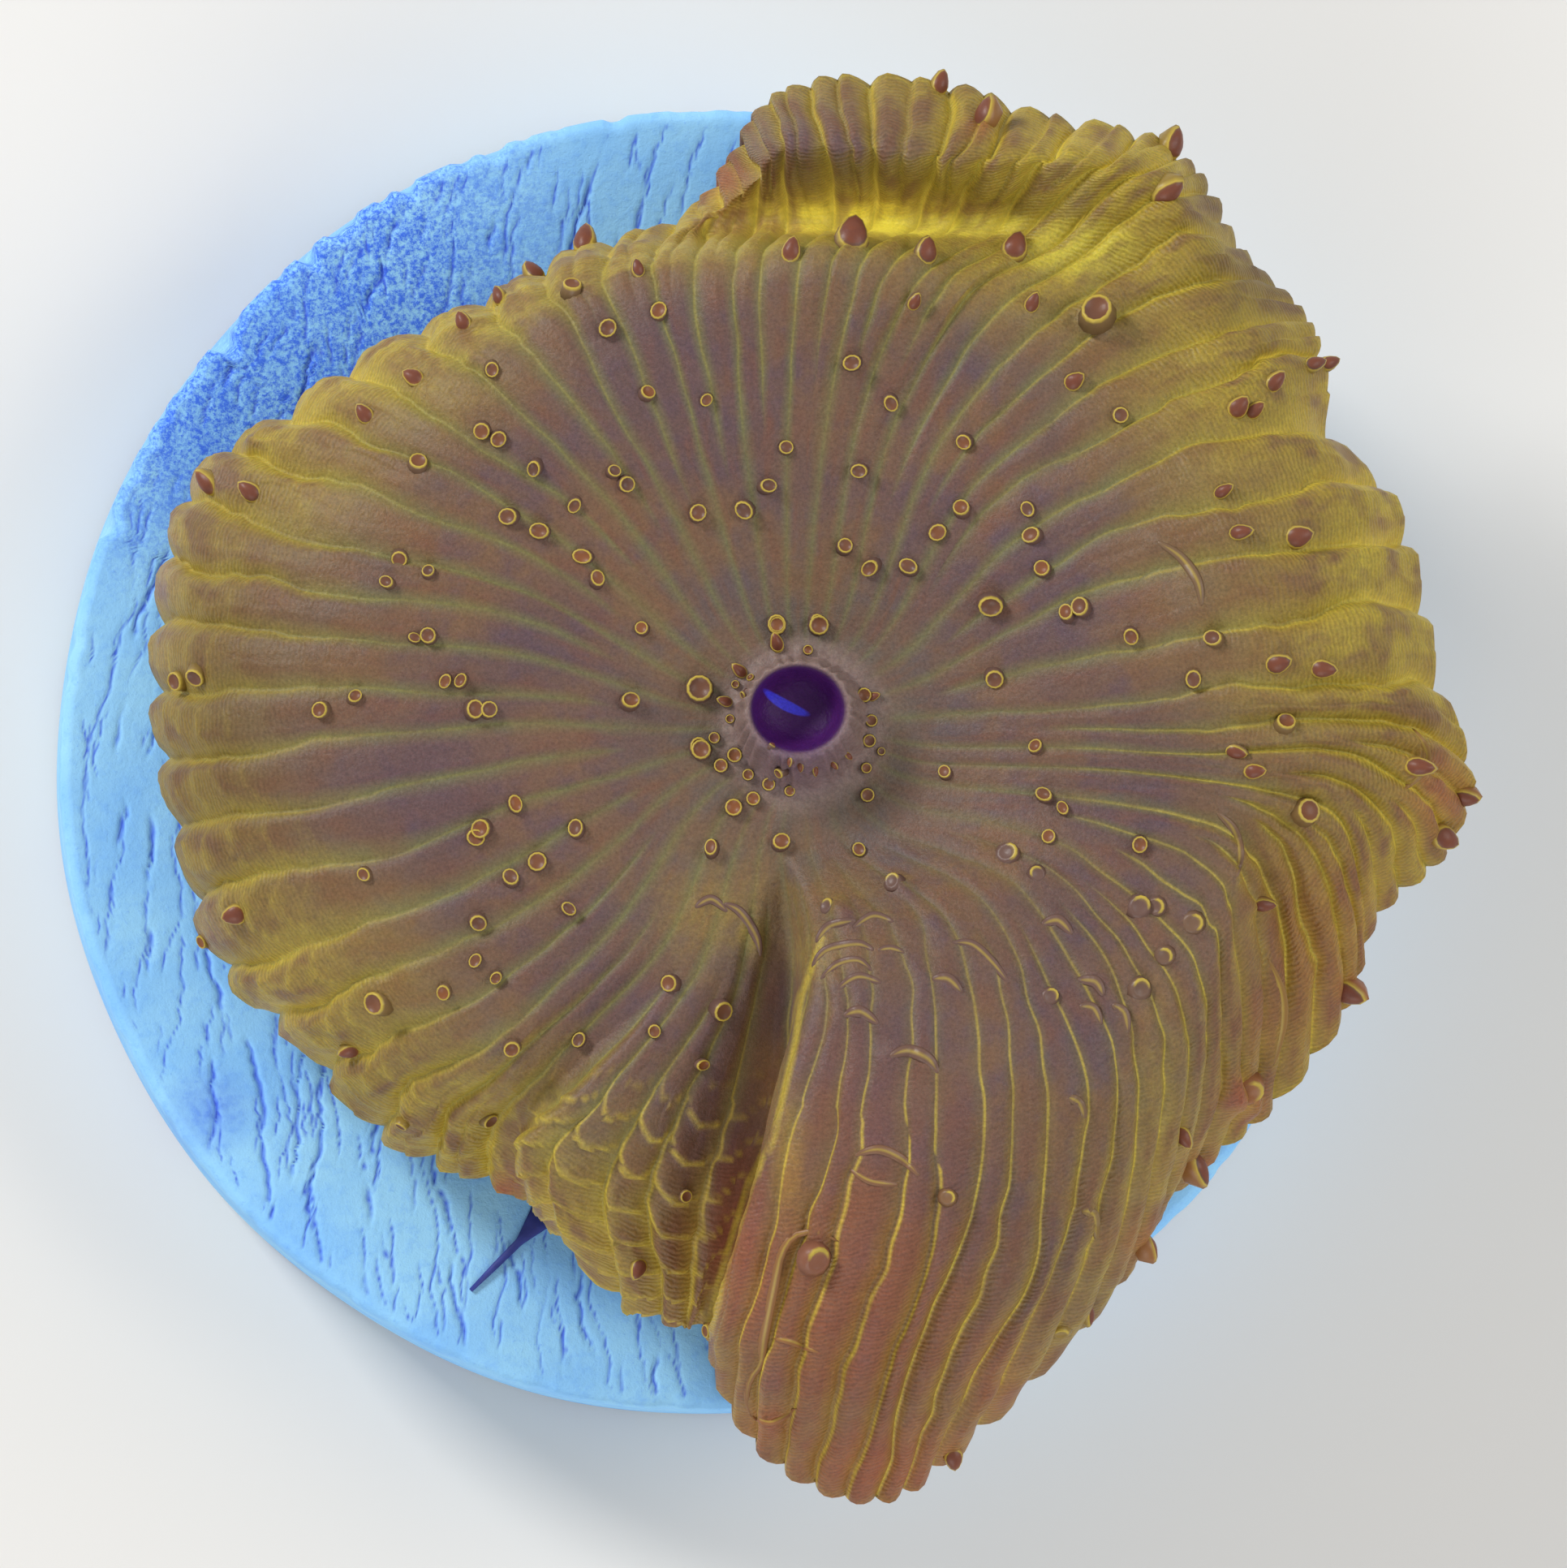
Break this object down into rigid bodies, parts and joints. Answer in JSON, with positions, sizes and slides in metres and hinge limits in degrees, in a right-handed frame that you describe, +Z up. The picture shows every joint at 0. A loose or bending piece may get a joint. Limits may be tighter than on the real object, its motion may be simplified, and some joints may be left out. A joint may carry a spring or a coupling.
{
  "type": "mushroom coral on a ceramic disc",
  "caption": "Mushroom coral polyp with a ribbed, folded oral disc, raised mouth and scattered tubercles, grown on a loose round ceramic disc with a strand of algae.",
  "frame": {"origin": "centre of the ceramic disc's flat underside", "axes": "+Z up through the ceramic and the polyp's mouth, +Y up the picture away from the long folded tongue, +X to the picture's right"},
  "size_m": [0.0345, 0.0349, 0.0146],
  "materials": {
    "ceramic": "unglazed, bright blue",
    "polyp_tissue": "soft wet tissue, olive yellow over mauve brown",
    "algae": "soft, dark blue violet"
  },
  "bodies": {
    "root": {"ceramic_disc": "ceramic", "mushroom_polyp": "polyp_tissue", "algae_strand": "algae"}
  },
  "joints": []
}
